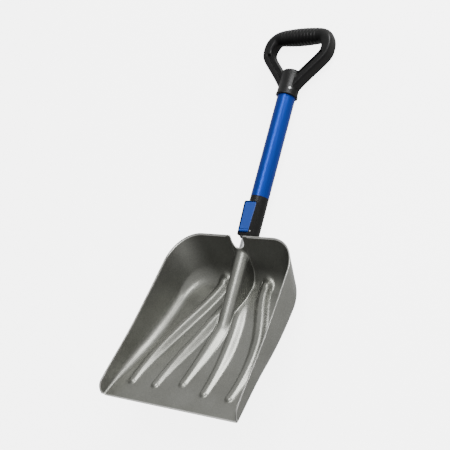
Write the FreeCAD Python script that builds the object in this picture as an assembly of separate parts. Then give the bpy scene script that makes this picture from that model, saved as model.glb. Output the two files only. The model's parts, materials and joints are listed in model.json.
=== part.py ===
import FreeCAD, Part

import math
import os

# A scoop-type snow and avalanche shovel with a telescopic shaft, in millimetres.
# Blade frame: X across the blade, Y from the lip to the handle, Z up, blade floor underside at Z = 0.
# Shaft frame: Z along the shaft, X across, -Y towards the front, where the lever is.
# Everything is moved to the row frame at the end: origin under the middle of the folded shovel.

# Blade, a pressed sheet
sheet = 2.2                 # thickness of the sheet
lip_width = 250.0           # across the cutting edge, inside the walls
blade_length = 259.3        # lip to the rim of the back wall
back_height = 69.8          # floor to the rim at the back
lip_wall_height = 15.0      # floor to the rim at the lip
back_rim_width = 224.4      # inside, where the side and back rims would meet
side_flare = 0.147          # outward run of a side wall for each unit of height
back_lean = 0.28            # backward run of the back wall for each unit of height
corner_radius = 50.0        # between side and back walls
fold_radius = 15.0          # between floor and walls
front_rounding = 13.0       # where the rim comes down to the lip
rim_flange = 1.8            # how far the rim turns outwards
rim_flange_depth = 1.8
notch_half_width = 12.5     # opening in the back rim above the socket
notch_floor_height = 47.7
cut_room = 20.0             # how far shapes that are cut away run past the blade

# Stiffening ribs pressed in the floor
rib_height = 7.0
rib_top_width = 7.0
rib_base_width = 18.0
rib_pitch = 45.3            # between rib tips at the lip end
rib_tip_distance = 26.0     # lip to the tips of the ribs
centre_rib_tip_distance = 36.0
rib_tip_top_width = 3.0
rib_tip_height = 3.0
# Centre lines behind the tips, as shares of half the lip width and of the blade length
outer_rib_line = [(0.72, 0.247), (0.664, 0.413), (0.552, 0.575), (0.432, 0.71), (0.336, 0.848)]
inner_rib_line = [(0.35, 0.228), (0.317, 0.343), (0.248, 0.467), (0.176, 0.609)]
centre_rib_line = [(0.0, 0.231), (0.0, 0.386), (0.0, 0.578)]
centre_rib_spread = 3.0     # growth of half the centre rib's top width at each point

# Shaft
shaft_lift = 25.0           # angle of the shaft above the blade floor
socket_height = 36.7        # shaft axis above the floor, at the plane of the back rim
inner_tube_diameter = 22.0
outer_tube_diameter = 28.0
tube_wall = 1.2
socket_play = 0.3           # between inner tube and the pressed socket
socket_depth = 60.0         # inner tube held in the blade
skirt_flare = 0.18          # outward run of the raised socket's sides
saddle_wall = 2.0
saddle_edge = 6.0           # shaft axis down to the upper edges of the saddle
saddle_wing = 1.6
saddle_wing_reach = 30.0
inner_tube_rise = 277.0     # rim plane to the top of the inner tube
guide_length = 15.0
guide_flange = 2.0
tube_joint_rise = 85.3      # rim plane to the lower end of the outer tube
outer_tube_length = 199.7
running_play = 0.06         # radial play of sliding fits
bumper_thickness = 5.0
bumper_hole_radius = 3.0
dowel_length = 50.0
screw_radius = 1.8
screw_hole = 1.85
screw_places = [-45.0, -20.0]   # along the shaft from the plane of the back rim
screw_head_radius = 3.4
screw_head_height = 1.7
screw_drive_radius = 1.1
screw_drive_depth = 0.9
guide_pin_radius = 1.5
guide_groove_inset = 4.0

# Lock collar and lever
collar_rise = 20.5          # rim plane to the lower face of the collar
spigot_length = 16.0
collar_front = 17.7         # shaft axis to the front of the lever housing
housing_top_width = 25.4
housing_foot_width = 20.8
housing_band = 10.3          # plain round band above the lever housing
cheek = 1.3
lever_gap = 0.5             # between lever and cheeks
lever_floor = 12.6          # shaft axis to the floor of the lever's slot
pivot_rise = 8.2            # collar's lower face to the lever pivot
pivot_offset = 15.4         # shaft axis to the lever pivot
lever_pin_diameter = 2.5
cam_radius = 2.45
cam_throw = 0.25
shoe_width = 12.0
shoe_length = 9.0
shoe_pad = 0.85             # rubber facing of the brake shoe
cam_play = 0.06             # between cam and shoe
shoe_play = 0.05            # between shoe facing and inner tube
washer_radius = 2.2
washer_thickness = 0.26
washer_play = 0.12
bush_wall = 1.12
bush_length = 20.0
seal_depth = 3.0
seal_groove = 0.8
housing_corner_radius = 3.0
housing_edge_radius = 1.0
slot_corner_radius = 3.6    # at the top of the lever's slot
slot_foot_radius = 2.5
slot_foot_drop = 4.3        # lever's slot below the pivot
slot_roof = 1.2             # housing left above the slot
bush_clearance = 3.0        # brake shoe's room to the foot of the bush
shoe_room = 0.2             # round the brake shoe in the housing
lever_sunk = 0.4            # lever's face behind the front of the housing
lever_corner_radius = 3.2
lever_edge_radius = 1.2
lever_wall = 2.2
lever_root = 9.0            # solid part of the lever above the pivot
cam_room = 0.3              # round the cam in the paddle
pin_play = 0.04
collar_rivet_radius = 1.6
collar_rivet_head_radius = 2.9
collar_rivet_head_height = 0.9

# Handle
grip_width = 128.0          # across the arms
grip_rise = 250.0           # rim plane to the lower edge of the handle socket
grip_play = 0.05            # between the outer tube and the handle socket
grip_socket_wall = 2.2
grip_socket_lip = 0.8
dome_height = 9.0           # closed end of the socket above the tube
crossbar_rise = 351.5
crossbar_diameter = 28.0
crossbar_end_diameter = 23.0
arm_depth = 20.0
arm_edge_radius = 3.0
arm_recess_half_width = 4.2
arm_recess_depth = 5.0
hand_gap_half_width = 46.0
grip_lip_height = 3.0
dome_bulge = 2.0            # dome's radius less the socket's
grip_rivet_radius = 1.3
grip_rivet_height = 10.0    # above the lower edge of the handle socket
grip_rivet_turn = 44.0      # from the front, in degrees
grip_rivet_head = 0.6       # head's radius and height past the shank and the socket
grip_rivet_sink = 0.3
# Outlines as shares of the half width, and of the run from the socket's edge to the crossbar
grip_outline = [(0.289, 0.0), (0.312, 0.158), (0.547, 0.335), (0.766, 0.502), (0.953, 0.66),
                (1.0, 0.768), (0.992, 0.857), (0.922, 0.966), (0.781, 1.054), (0.625, 1.103)]
hand_gap_outline = [(0.283, 0.394), (0.674, 0.547), (0.891, 0.64), (1.0, 0.719),
                    (0.989, 0.798), (0.891, 0.857), (0.739, 0.882)]
arm_recess_ends = [(0.375, 0.345), (0.745, 0.637)]
far = 200.0                 # past the end of any piece, for cuts that go right through

z_floor = sheet
inner_radius = inner_tube_diameter / 2
outer_radius = outer_tube_diameter / 2
outer_bore = outer_radius - tube_wall
socket_radius = inner_radius + socket_play
slide_bore = inner_radius + running_play
rim_slope = (back_height - lip_wall_height) / blade_length
side_run = (back_rim_width / 2 - lip_width / 2 - side_flare * back_height) / blade_length
back_foot = blade_length - back_lean * back_height
outer_tube_top = tube_joint_rise + outer_tube_length
guide_pin_rise = inner_tube_rise - guide_length / 2
collar_rivet_rise = tube_joint_rise + spigot_length / 2
grip_rivet_rise = grip_rise + grip_rivet_height
housing_top = tube_joint_rise - housing_band
pivot = collar_rise + pivot_rise
slot_foot = pivot - slot_foot_drop
slot_top = housing_top - slot_roof
bush_foot = pivot + shoe_length / 2 + bush_clearance
bush_bore = slide_bore + bush_wall
pin_radius = lever_pin_diameter / 2
shoe_back = -inner_radius + 3
grip_bore = outer_radius + grip_play
grip_outer = grip_bore + grip_socket_wall
across = FreeCAD.Vector(1, 0, 0)
up = FreeCAD.Vector(0, 0, 1)


def vec(x, y, z):
    return FreeCAD.Vector(x, y, z)


def box(low, high):
    size = vec(*high) - vec(*low)
    return Part.makeBox(size.x, size.y, size.z, vec(*low))


def rod(radius, start, end):
    """A cylinder of that radius from one point to another."""
    run = vec(*end) - vec(*start)
    return Part.makeCylinder(radius, run.Length, vec(*start), run)


def ring(bore, radius, low, high):
    """A tube about the shaft axis, from one height to another."""
    return rod(radius, (0, 0, low), (0, 0, high)).cut(rod(bore, (0, 0, low - 1), (0, 0, high + 1)))


def plate(points, direction):
    """A prism on a polygon."""
    wire = Part.makePolygon([vec(*p) for p in points + points[:1]])
    return Part.Face(wire).extrude(vec(*direction))


def rounded(shape, radius, chosen):
    edges = [e for e in shape.Edges if chosen(e)]
    return shape.makeFillet(radius, edges)


def on_shaft(shape):
    """Moves a shape from the shaft frame to the blade frame."""
    moved = shape.copy()
    moved.rotate(vec(0, 0, 0), across, shaft_lift - 90)
    moved.translate(vec(0, blade_length, socket_height + z_floor))
    return moved


# Blade

def side_at(y, z, out):
    """Half width between the side walls at a point of their inner face, moved outwards."""
    inside = lip_width / 2 + side_run * y + side_flare * z
    return inside + out * math.sqrt(1 + side_run ** 2 + side_flare ** 2)


def back_at(z, out):
    return back_foot + back_lean * z + out * math.sqrt(1 + back_lean ** 2)


def scoop_block(out):
    """The space inside the blade as a solid, grown outwards on the floor and the walls."""
    front = -cut_room
    wires = []
    for z in (-out, back_height + cut_room):
        back = back_at(z, out)
        front_half = side_at(front, z, out)
        back_half = side_at(back, z, out)
        corners = [(-front_half, front), (front_half, front), (back_half, back), (-back_half, back)]
        points = [vec(x, y, z + z_floor) for x, y in corners]
        wires.append(Part.makePolygon(points + points[:1]))
    block = Part.makeLoft(wires, True, True)
    block = rounded(block, corner_radius + out,
                    lambda e: e.BoundBox.ZLength > back_height and e.BoundBox.YMin > blade_length / 2)
    return rounded(block, fold_radius + out,
                   lambda e: e.BoundBox.ZMax < z_floor - out + 0.01 and e.BoundBox.YMax > 0)


def rim_profile(drop):
    """What lies under the rim, seen from the side and stretched across the blade."""
    low = z_floor + lip_wall_height - drop
    rise = math.hypot(1, rim_slope)
    start = vec(0, 0, low - front_rounding)
    end = vec(0, front_rounding / rise, low + rim_slope * front_rounding / rise)
    half_turn = math.radians(90 + math.degrees(math.atan(rim_slope))) / 2
    chord = (end - start).normalize()
    outwards = vec(0, -chord.z, chord.y)
    middle = (start + end) * 0.5 + outwards * (end - start).Length / 2 * math.tan(half_turn / 2)
    back = blade_length + 3 * cut_room
    corner = vec(0, back, low + rim_slope * back)
    arc = Part.Arc(start, middle, end).toShape()
    edges = [arc]
    points = [end, corner, vec(0, back, -cut_room), vec(0, 0, -cut_room), start]
    for a, b in zip(points, points[1:]):
        edges.append(Part.makeLine(a, b))
    face = Part.Face(Part.Wire(edges))
    face.translate(vec(-lip_width, 0, 0))
    return face.extrude(vec(2 * lip_width, 0, 0))


def rib_block(path, grow):
    """A raised rib on (x, y, half top width, height); grow is negative for the hollow under it."""
    sections = []
    for i, (x, y, half_top, height) in enumerate(path):
        before = path[max(i - 1, 0)]
        after = path[min(i + 1, len(path) - 1)]
        run = vec(after[0] - before[0], after[1] - before[1], 0).normalize()
        side = vec(run.y, -run.x, 0)
        slope = (rib_base_width - rib_top_width) / 2 / rib_height
        half = max(half_top + grow, rib_tip_top_width / 6)
        top = z_floor + height + grow
        foot = half + slope * (top + 1)
        place = vec(x, y, 0)
        if i == 0:
            place = place - run * grow
        if i == len(path) - 1:
            place = place + run * grow
        corners = [place - side * foot - up, place - side * half + up * top,
                   place + side * half + up * top, place + side * foot - up]
        sections.append(Part.makePolygon(corners + corners[:1]))
    return Part.makeLoft(sections, True, False)


def socket_form(radius, low, high):
    """The raised socket over the shaft: a half round with flared sides below it."""
    depth = 3 * cut_room
    spread = radius + skirt_flare * depth
    sides = [(-radius, 0, low), (radius, 0, low), (spread, depth, low), (-spread, depth, low)]
    return rod(radius, (0, 0, low), (0, 0, high)).fuse(plate(sides, (0, 0, high - low)))


def rib_paths():
    """The five ribs as lists of (x, y, half top width, height), from the tips back."""
    paths = []
    lines = ((2 * rib_pitch, rib_tip_distance, outer_rib_line, 0),
             (rib_pitch, rib_tip_distance, inner_rib_line, 0),
             (0, centre_rib_tip_distance, centre_rib_line, centre_rib_spread))
    for tip_x, tip_y, line, spread in lines:
        path = [(tip_x, tip_y, rib_tip_top_width / 2, rib_tip_height)]
        for i, (x, y) in enumerate(line):
            path.append((x * lip_width / 2, y * blade_length, rib_top_width / 2 + spread * i, rib_height))
        paths.append(path)
        if tip_x > 0:
            paths.append([(-x, y, w, h) for x, y, w, h in path])
    return paths


def blade():
    inside = scoop_block(0)
    outside = scoop_block(sheet)
    shell = outside.cut(inside)
    band = scoop_block(sheet + rim_flange).cut(inside)
    band = band.common(rim_profile(0)).cut(rim_profile(rim_flange_depth))
    band = band.cut(box((-lip_width, -2 * cut_room, -cut_room), (lip_width, front_rounding + 6, far)))
    shell = shell.common(rim_profile(0))
    body = shell.fuse(band)
    hump = on_shaft(socket_form(socket_radius + sheet, -far, -sheet)).common(outside)
    body = body.fuse(hump)
    for path in rib_paths():
        body = body.fuse(rib_block(path, 0).common(outside))
    for path in rib_paths():
        body = body.cut(rib_block(path, -sheet))
    body = body.cut(on_shaft(socket_form(socket_radius, -far, 3 * cut_room)))
    notch_foot = z_floor + notch_floor_height + notch_half_width
    near = back_foot - cut_room
    back = blade_length + cut_room
    notch = rod(notch_half_width, (0, near, notch_foot), (0, back, notch_foot))
    notch = notch.fuse(box((-notch_half_width, near, notch_foot), (notch_half_width, back, far)))
    body = body.cut(notch)
    return body.removeSplitter()


# Shaft

def socket_saddle():
    """The half shell under the shaft and its wings on the back wall, spot welded to the blade."""
    shell = ring(socket_radius, socket_radius + saddle_wall, -socket_depth - 2, 0)
    shell = shell.common(box((-far, saddle_edge, -socket_depth - 2), (far, far, 0)))
    wings = scoop_block(sheet + saddle_wing).cut(scoop_block(sheet))
    low = z_floor + fold_radius + 2
    high = z_floor + socket_height - 4
    reach = saddle_wing_reach
    wings = wings.common(box((-reach, blade_length / 2, low), (reach, blade_length + cut_room, high)))
    outer = socket_radius + saddle_wall
    wings = wings.cut(on_shaft(rod(outer - 0.5, (0, 0, -far), (0, 0, far))))
    above = on_shaft(box((-outer, -far, -far), (outer, 0, far)))
    wings = wings.cut(above)
    body = on_shaft(shell).fuse(wings)
    for z, hole in zip(screw_places, socket_screw_rods(screw_hole)):
        seat = rod(screw_head_radius + 0.2, (0, outer, z), (0, outer + far, z))
        body = body.cut(on_shaft(hole)).cut(on_shaft(seat))
    return body.removeSplitter()


def socket_screw_rods(radius):
    """The screws' shanks, coming up through the saddle into the dowel."""
    return [rod(radius, (0, 3, z), (0, socket_radius + saddle_wall, z)) for z in screw_places]


def socket_screws():
    heads = []
    for z, shank in zip(screw_places, socket_screw_rods(screw_radius)):
        outer = socket_radius + saddle_wall
        head = rod(screw_head_radius, (0, outer, z), (0, outer + screw_head_height, z))
        drive = outer + screw_head_height - screw_drive_depth
        head = head.cut(rod(screw_drive_radius, (0, drive, z), (0, far, z)))
        head = head.fuse(rod(screw_radius, (0, outer - 1, z), (0, outer, z)))
        heads.append(shank.fuse(head))
    return on_shaft(Part.Compound(heads))


def socket_dowel():
    """Plastic plug in the foot of the inner tube, which the screws bite into."""
    plug = rod(inner_radius - tube_wall, (0, 0, -socket_depth), (0, 0, dowel_length - socket_depth))
    for hole in socket_screw_rods(screw_radius):
        plug = plug.cut(hole)
    return on_shaft(plug)


def inner_tube():
    tube = ring(inner_radius - tube_wall, inner_radius, -socket_depth, inner_tube_rise)
    for hole in socket_screw_rods(screw_hole):
        tube = tube.cut(hole)
    tube = tube.cut(rod(guide_pin_radius, (-far, 0, guide_pin_rise), (far, 0, guide_pin_rise)))
    return on_shaft(tube)


def guide_bush():
    """Slides in the outer tube and stops on the collar's spigot at full length."""
    outer = outer_bore - running_play
    bush = ring(inner_radius, outer, inner_tube_rise - guide_length, inner_tube_rise)
    bush = bush.fuse(ring(inner_radius / 2, outer, inner_tube_rise, inner_tube_rise + guide_flange))
    for z in (inner_tube_rise - guide_length + guide_groove_inset, inner_tube_rise - guide_groove_inset):
        bush = bush.cut(ring(outer - 0.5, outer + 1, z - 1, z + 1))
    bush = bush.cut(rod(guide_pin_radius, (-far, 0, guide_pin_rise), (far, 0, guide_pin_rise)))
    return on_shaft(bush.removeSplitter())


def guide_pin():
    half = outer_bore - running_play - 0.6
    return on_shaft(rod(guide_pin_radius, (-half, 0, guide_pin_rise), (half, 0, guide_pin_rise)))


def collar_rivet_rod(radius, start):
    end = outer_radius + collar_rivet_head_height
    return rod(radius, (0, start, collar_rivet_rise), (0, end, collar_rivet_rise))


def grip_rivet_rod(radius, start, end):
    turn = math.radians(grip_rivet_turn)
    x = math.sin(turn)
    y = -math.cos(turn)
    return rod(radius, (x * start, y * start, grip_rivet_rise), (x * end, y * end, grip_rivet_rise))


def outer_tube():
    tube = ring(outer_bore, outer_radius, tube_joint_rise, outer_tube_top)
    tube = tube.cut(collar_rivet_rod(collar_rivet_radius, inner_radius / 2))
    tube = tube.cut(grip_rivet_rod(grip_rivet_radius, inner_radius / 2, far))
    return on_shaft(tube)


def collar_rivet():
    shank = collar_rivet_rod(collar_rivet_radius, slide_bore + 0.1)
    head = collar_rivet_rod(collar_rivet_head_radius, outer_radius - 1)
    head = head.cut(rod(outer_radius, (0, 0, 0), (0, 0, far)))
    return on_shaft(shank.fuse(head))


def tube_bumper():
    """Rubber disc in the top of the outer tube, which the inner tube lands on."""
    disc = rod(outer_bore, (0, 0, outer_tube_top - bumper_thickness), (0, 0, outer_tube_top))
    return on_shaft(disc.cut(rod(bumper_hole_radius, (0, 0, 0), (0, 0, 2 * outer_tube_top))))


# Lock collar

def housing_half_width(z):
    share = (z - collar_rise) / (housing_top - collar_rise)
    return (housing_foot_width + share * (housing_top_width - housing_foot_width)) / 2


def tapered_block(low, high, inset, near, far):
    """A block as wide as the lever housing, less an inset, between two distances in front of the axis."""
    a = housing_half_width(low) - inset
    b = housing_half_width(high) - inset
    points = [(-a, -near, low), (a, -near, low), (b, -near, high), (-b, -near, high)]
    return plate(points, (0, near - far, 0))


def along_y(edge):
    """Whether a straight edge runs front to back."""
    ends = edge.Vertexes
    if len(ends) != 2:
        return False
    run = ends[1].Point - ends[0].Point
    return math.hypot(run.x, run.z) < 1e-6


def lock_collar():
    body = rod(outer_radius, (0, 0, collar_rise), (0, 0, tube_joint_rise))
    front = tapered_block(collar_rise, housing_top, 0, 0, collar_front)
    front = rounded(front, housing_corner_radius, along_y)
    front = rounded(front, housing_edge_radius, lambda e: e.BoundBox.YMax < -collar_front + 0.01)
    body = body.fuse(front)
    body = body.fuse(rod(outer_bore, (0, 0, tube_joint_rise), (0, 0, tube_joint_rise + spigot_length)))
    body = body.cut(rod(slide_bore + 0.1, (0, 0, 0), (0, 0, far)))
    body = body.cut(rod(bush_bore, (0, 0, 0), (0, 0, bush_foot + bush_length)))
    body = body.cut(rod(outer_bore, (0, 0, 0), (0, 0, collar_rise + seal_depth)))
    slot = tapered_block(slot_foot, slot_top, cheek, lever_floor, 2 * collar_front)
    slot = rounded(slot, slot_corner_radius, lambda e: along_y(e) and e.BoundBox.ZMin > slot_top - 1)
    slot = rounded(slot, slot_foot_radius, lambda e: along_y(e) and e.BoundBox.ZMax < slot_foot + 1)
    body = body.cut(slot)
    half = shoe_width / 2 + shoe_room
    reach = shoe_length / 2 + shoe_room
    body = body.cut(box((-half, -lever_floor - 1, pivot - reach), (half, shoe_back, pivot + reach)))
    body = body.cut(rod(pin_radius, (-far, -pivot_offset, pivot), (far, -pivot_offset, pivot)))
    body = body.cut(collar_rivet_rod(collar_rivet_radius, inner_radius / 2))
    return on_shaft(body.removeSplitter())


def collar_bush():
    return on_shaft(ring(slide_bore, bush_bore, bush_foot, bush_foot + bush_length))


def wiper_seal():
    seal = ring(slide_bore, outer_bore, collar_rise, collar_rise + seal_depth)
    groove = ring(slide_bore + seal_groove, outer_bore - seal_groove, collar_rise - 1, collar_rise + 1)
    return on_shaft(seal.cut(groove))


def shoe_block():
    """The room of the shoe and its facing, between the cam and the inner tube."""
    top = pivot_offset - cam_radius - cam_throw - cam_play
    reach = shoe_length / 2
    return box((-shoe_width / 2, -top, pivot - reach), (shoe_width / 2, shoe_back, pivot + reach))


def brake_shoe():
    return on_shaft(shoe_block().cut(rod(inner_radius + shoe_play + shoe_pad, (0, 0, 0), (0, 0, far))))


def shoe_facing():
    """Rubber facing on the shoe, which grips the inner tube."""
    facing = ring(inner_radius + shoe_play, inner_radius + shoe_play + shoe_pad, 0, far)
    return on_shaft(facing.common(shoe_block()))


def cam_lever():
    gap = cheek + lever_gap
    high = slot_top - lever_gap
    front = collar_front - lever_sunk
    paddle = tapered_block(pivot, high, gap, lever_floor + cam_room, front)
    paddle = rounded(paddle, lever_corner_radius, lambda e: along_y(e) and e.BoundBox.ZMax > high - 1)
    paddle = rounded(paddle, lever_edge_radius,
                     lambda e: e.BoundBox.YMax < -front + 0.01 and e.BoundBox.ZMax > pivot + 1)
    half = housing_half_width(pivot) - gap
    hollow = tapered_block(pivot + lever_root, high - lever_wall, gap + lever_wall, 0, front - lever_wall)
    paddle = paddle.cut(hollow)
    room_radius = cam_radius + cam_throw + cam_room
    room = rod(room_radius, (-far, -pivot_offset, pivot), (far, -pivot_offset, pivot))
    room = room.fuse(box((-far, -pivot_offset, -far), (far, 0, pivot + room_radius)))
    paddle = paddle.cut(room)
    cam_y = cam_throw - pivot_offset
    cam = rod(cam_radius, (-half, cam_y, pivot), (half, cam_y, pivot))
    web_top = pivot + room_radius + lever_wall
    web = box((-half, -front + lever_edge_radius, pivot), (half, -pivot_offset, web_top))
    body = paddle.fuse(cam).fuse(web)
    body = body.cut(rod(pin_radius + pin_play, (-far, -pivot_offset, pivot), (far, -pivot_offset, pivot)))
    return on_shaft(body.removeSplitter())


def lever_pin():
    half = housing_half_width(pivot)
    return on_shaft(rod(pin_radius, (-half, -pivot_offset, pivot), (half, -pivot_offset, pivot)))


def lever_washers():
    """Thin washers between the lever and the cheeks."""
    inner = housing_half_width(pivot) - cheek
    washers = []
    for side in (-1, 1):
        near = inner - lever_gap + washer_play
        start = (side * near, -pivot_offset, pivot)
        end = (side * (near + washer_thickness), -pivot_offset, pivot)
        hole = rod(pin_radius, (-far, -pivot_offset, pivot), (far, -pivot_offset, pivot))
        washers.append(rod(washer_radius, start, end).cut(hole))
    return on_shaft(Part.Compound(washers))


# Handle

def handle_place(share, half_width, y):
    """A point of the handle in the shaft frame, from its share across and its share of the rise."""
    return share[0] * half_width, y, grip_rise + share[1] * (crossbar_rise - grip_rise)


def mirrored_face(outline, half_width, y):
    points = [handle_place(share, half_width, y) for share in outline]
    points += [(-x, y, z) for x, _, z in reversed(points)]
    return points


def crossbar():
    """The barrel the hand holds, thickest in the middle."""
    end_radius = crossbar_end_diameter / 2
    half = hand_gap_half_width
    left = vec(-half, 0, crossbar_rise + end_radius)
    right = vec(half, 0, crossbar_rise + end_radius)
    crown = vec(0, 0, crossbar_rise + crossbar_diameter / 2)
    curve = Part.Arc(left, crown, right).toShape()
    start = vec(-half, 0, crossbar_rise)
    end = vec(half, 0, crossbar_rise)
    edges = [Part.makeLine(start, left), curve, Part.makeLine(right, end), Part.makeLine(end, start)]
    return Part.Face(Part.Wire(edges)).revolve(vec(0, 0, crossbar_rise), across, 360)


def arm_recess(sign, face):
    """The long hollow in one face of an arm of the handle."""
    half_width = sign * grip_width / 2
    depth = arm_depth / 2 - arm_recess_depth
    foot = vec(*handle_place(arm_recess_ends[0], half_width, face * depth))
    top = vec(*handle_place(arm_recess_ends[1], half_width, face * depth))
    run = (top - foot).normalize()
    side = vec(run.z, 0, -run.x) * arm_recess_half_width
    corners = [foot - side, foot + side, top + side, top - side]
    return plate([tuple(p) for p in corners], (0, face * arm_depth, 0))


def grip_body():
    frame = plate(mirrored_face(grip_outline, grip_width / 2, -arm_depth / 2), (0, arm_depth, 0))
    half = hand_gap_half_width
    gap = plate(mirrored_face(hand_gap_outline, half, -arm_depth), (0, 2 * arm_depth, 0))
    frame = rounded(frame.cut(gap), arm_edge_radius, lambda e: e.BoundBox.YLength < 0.01)
    under_bar = crossbar_rise - crossbar_end_diameter / 3
    over_bar = crossbar_rise + crossbar_diameter
    frame = frame.cut(box((-half, -arm_depth, under_bar), (half, arm_depth, over_bar)))
    for sign in (-1, 1):
        for face in (-1, 1):
            frame = frame.cut(arm_recess(sign, face))
    socket = rod(grip_outer, (0, 0, grip_rise), (0, 0, outer_tube_top + 1))
    lip = rod(grip_outer + grip_socket_lip, (0, 0, grip_rise), (0, 0, grip_rise + grip_lip_height))
    dome_radius = grip_outer + dome_bulge
    dome = Part.makeSphere(dome_radius, vec(0, 0, outer_tube_top + dome_height - dome_radius))
    dome = dome.common(rod(grip_outer, (0, 0, outer_tube_top), (0, 0, outer_tube_top + dome_radius)))
    body = frame.fuse(crossbar()).fuse(socket).fuse(lip).fuse(dome)
    body = body.cut(rod(grip_bore, (0, 0, 0), (0, 0, outer_tube_top)))
    body = body.cut(grip_rivet_rod(grip_rivet_radius, inner_radius / 2, far))
    seat_radius = grip_rivet_radius + grip_rivet_head + 0.2
    body = body.cut(grip_rivet_rod(seat_radius, grip_outer - grip_rivet_sink, far))
    return on_shaft(body.removeSplitter())


def grip_rivet():
    head_end = grip_outer - grip_rivet_sink + grip_rivet_head
    shank = grip_rivet_rod(grip_rivet_radius, outer_bore + 0.1, head_end)
    head = grip_rivet_rod(grip_rivet_radius + grip_rivet_head, grip_outer - grip_rivet_sink, head_end)
    return on_shaft(shank.fuse(head))


# How it lies: on the heel of the blade and on the handle

def lying_angle():
    """How far the shovel tips back from its flat blade until the handle touches the ground."""
    heel_radius = fold_radius + sheet
    heel_y = back_at(fold_radius, -fold_radius)
    heel_z = z_floor + fold_radius
    angles = []
    for rise, radius in ((crossbar_rise, crossbar_diameter / 2), (grip_rise, grip_outer + grip_socket_lip)):
        lift = math.radians(shaft_lift)
        run_y = blade_length + rise * math.cos(lift) - heel_y
        run_z = socket_height + z_floor + rise * math.sin(lift) - heel_z
        lean = math.asin((radius - heel_radius) / math.hypot(run_y, run_z))
        angles.append(math.atan2(run_z, run_y) - lean)
    return math.degrees(min(angles))


pieces = {
    "blade": blade, "socket_saddle": socket_saddle, "socket_screws": socket_screws,
    "socket_dowel": socket_dowel,
    "inner_tube": inner_tube, "guide_bush": guide_bush, "guide_pin": guide_pin,
    "outer_tube": outer_tube, "collar_rivet": collar_rivet, "tube_bumper": tube_bumper,
    "lock_collar": lock_collar, "collar_bush": collar_bush, "wiper_seal": wiper_seal,
    "brake_shoe": brake_shoe, "shoe_facing": shoe_facing,
    "cam_lever": cam_lever, "lever_pin": lever_pin, "lever_washers": lever_washers,
    "grip_body": grip_body, "grip_rivet": grip_rivet,
}
made = {name: make() for name, make in pieces.items()}
tip = lying_angle()
for shape in made.values():
    shape.rotate(vec(0, 0, 0), across, -tip)
limits = [shape.optimalBoundingBox(True, False) for shape in made.values()]
low = min(b.ZMin for b in limits)
middle = (min(b.YMin for b in limits) + max(b.YMax for b in limits)) / 2
shift = vec(0, -middle, -low)
os.makedirs("parts", exist_ok=True)
for name, shape in made.items():
    shape.translate(shift)
    shape.exportStep("parts/" + name + ".step")
    state = "valid" if shape.isValid() else "NOT VALID"
    print(name, state, len(shape.Solids), "solids", round(shape.Volume), "mm3")

# The places that a record of the joints needs, in the row frame
turn = FreeCAD.Rotation(across, -tip)
slide = FreeCAD.Rotation(across, shaft_lift - tip)
hinge = on_shaft(Part.Vertex(vec(0, -pivot_offset, pivot)))
hinge.rotate(vec(0, 0, 0), across, -tip)
hinge.translate(shift)
print("lying angle", tip, "shift", shift)
print("slide axis", slide.multVec(vec(0, 1, 0)), "out of the lever face", slide.multVec(up))
print("lever pivot", hinge.Point)
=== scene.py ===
import json
import math
import bmesh
import bpy
import numpy as np
from mathutils import Matrix, Vector


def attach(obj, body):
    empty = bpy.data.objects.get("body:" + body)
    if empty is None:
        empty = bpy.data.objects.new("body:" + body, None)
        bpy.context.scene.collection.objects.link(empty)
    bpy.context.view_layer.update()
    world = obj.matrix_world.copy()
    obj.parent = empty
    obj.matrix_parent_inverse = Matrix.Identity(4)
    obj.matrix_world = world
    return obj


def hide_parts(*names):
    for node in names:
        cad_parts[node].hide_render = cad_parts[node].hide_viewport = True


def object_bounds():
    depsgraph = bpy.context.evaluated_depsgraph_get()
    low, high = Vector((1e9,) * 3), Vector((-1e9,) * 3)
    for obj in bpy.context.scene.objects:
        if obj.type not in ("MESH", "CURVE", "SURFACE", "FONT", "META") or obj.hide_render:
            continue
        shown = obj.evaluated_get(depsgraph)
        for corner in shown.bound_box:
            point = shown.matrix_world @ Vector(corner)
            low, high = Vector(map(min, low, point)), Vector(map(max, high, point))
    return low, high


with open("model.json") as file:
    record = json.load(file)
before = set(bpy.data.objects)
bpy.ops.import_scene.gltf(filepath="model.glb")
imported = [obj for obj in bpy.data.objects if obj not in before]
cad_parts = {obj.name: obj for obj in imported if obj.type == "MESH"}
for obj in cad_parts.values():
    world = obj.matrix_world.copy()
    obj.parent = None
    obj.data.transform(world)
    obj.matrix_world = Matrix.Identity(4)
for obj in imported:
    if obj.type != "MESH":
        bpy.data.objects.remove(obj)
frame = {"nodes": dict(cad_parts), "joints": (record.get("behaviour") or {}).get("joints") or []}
cadLow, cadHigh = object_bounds()
print("frame loaded")

# Where the shaft and the blade lie in the row frame

lay = {
    "lift": 25.0,            # degrees, shaft above the blade floor
    "socketAt": (259.3, 36.7),   # mm, shaft axis at the back rim: along the blade, above its floor
    "pivotRise": 28.7,       # mm, lever pivot along the shaft from there
    "pivotOut": 15.4,        # mm, lever pivot in front of the shaft axis
}
joints = {j["name"]: j for j in frame["joints"]}
alongShaft = np.array(joints["shaft_extend"]["axis"], float)
outOfLever = np.array([0.0, -alongShaft[2], alongShaft[1]])
pivotPoint = np.array(joints["lever_flip"]["pos_m"], float) * 1000
shaftOrigin = pivotPoint - lay["pivotRise"] * alongShaft - lay["pivotOut"] * outOfLever
lift = math.radians(lay["lift"])
alongBlade = alongShaft * math.cos(lift) - outOfLever * math.sin(lift)
upFromBlade = alongShaft * math.sin(lift) + outOfLever * math.cos(lift)
acrossAxis = np.array([1.0, 0.0, 0.0])


def fromShaft(x, out, rise):
    # shaft frame in mm to the row frame in metres: origin plus each distance times its direction
    x, out, rise = np.broadcast_arrays(*[np.asarray(v, float) for v in (x, out, rise)])
    place = shaftOrigin + x[..., None] * acrossAxis + out[..., None] * outOfLever + rise[..., None] * alongShaft
    return place / 1000


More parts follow.
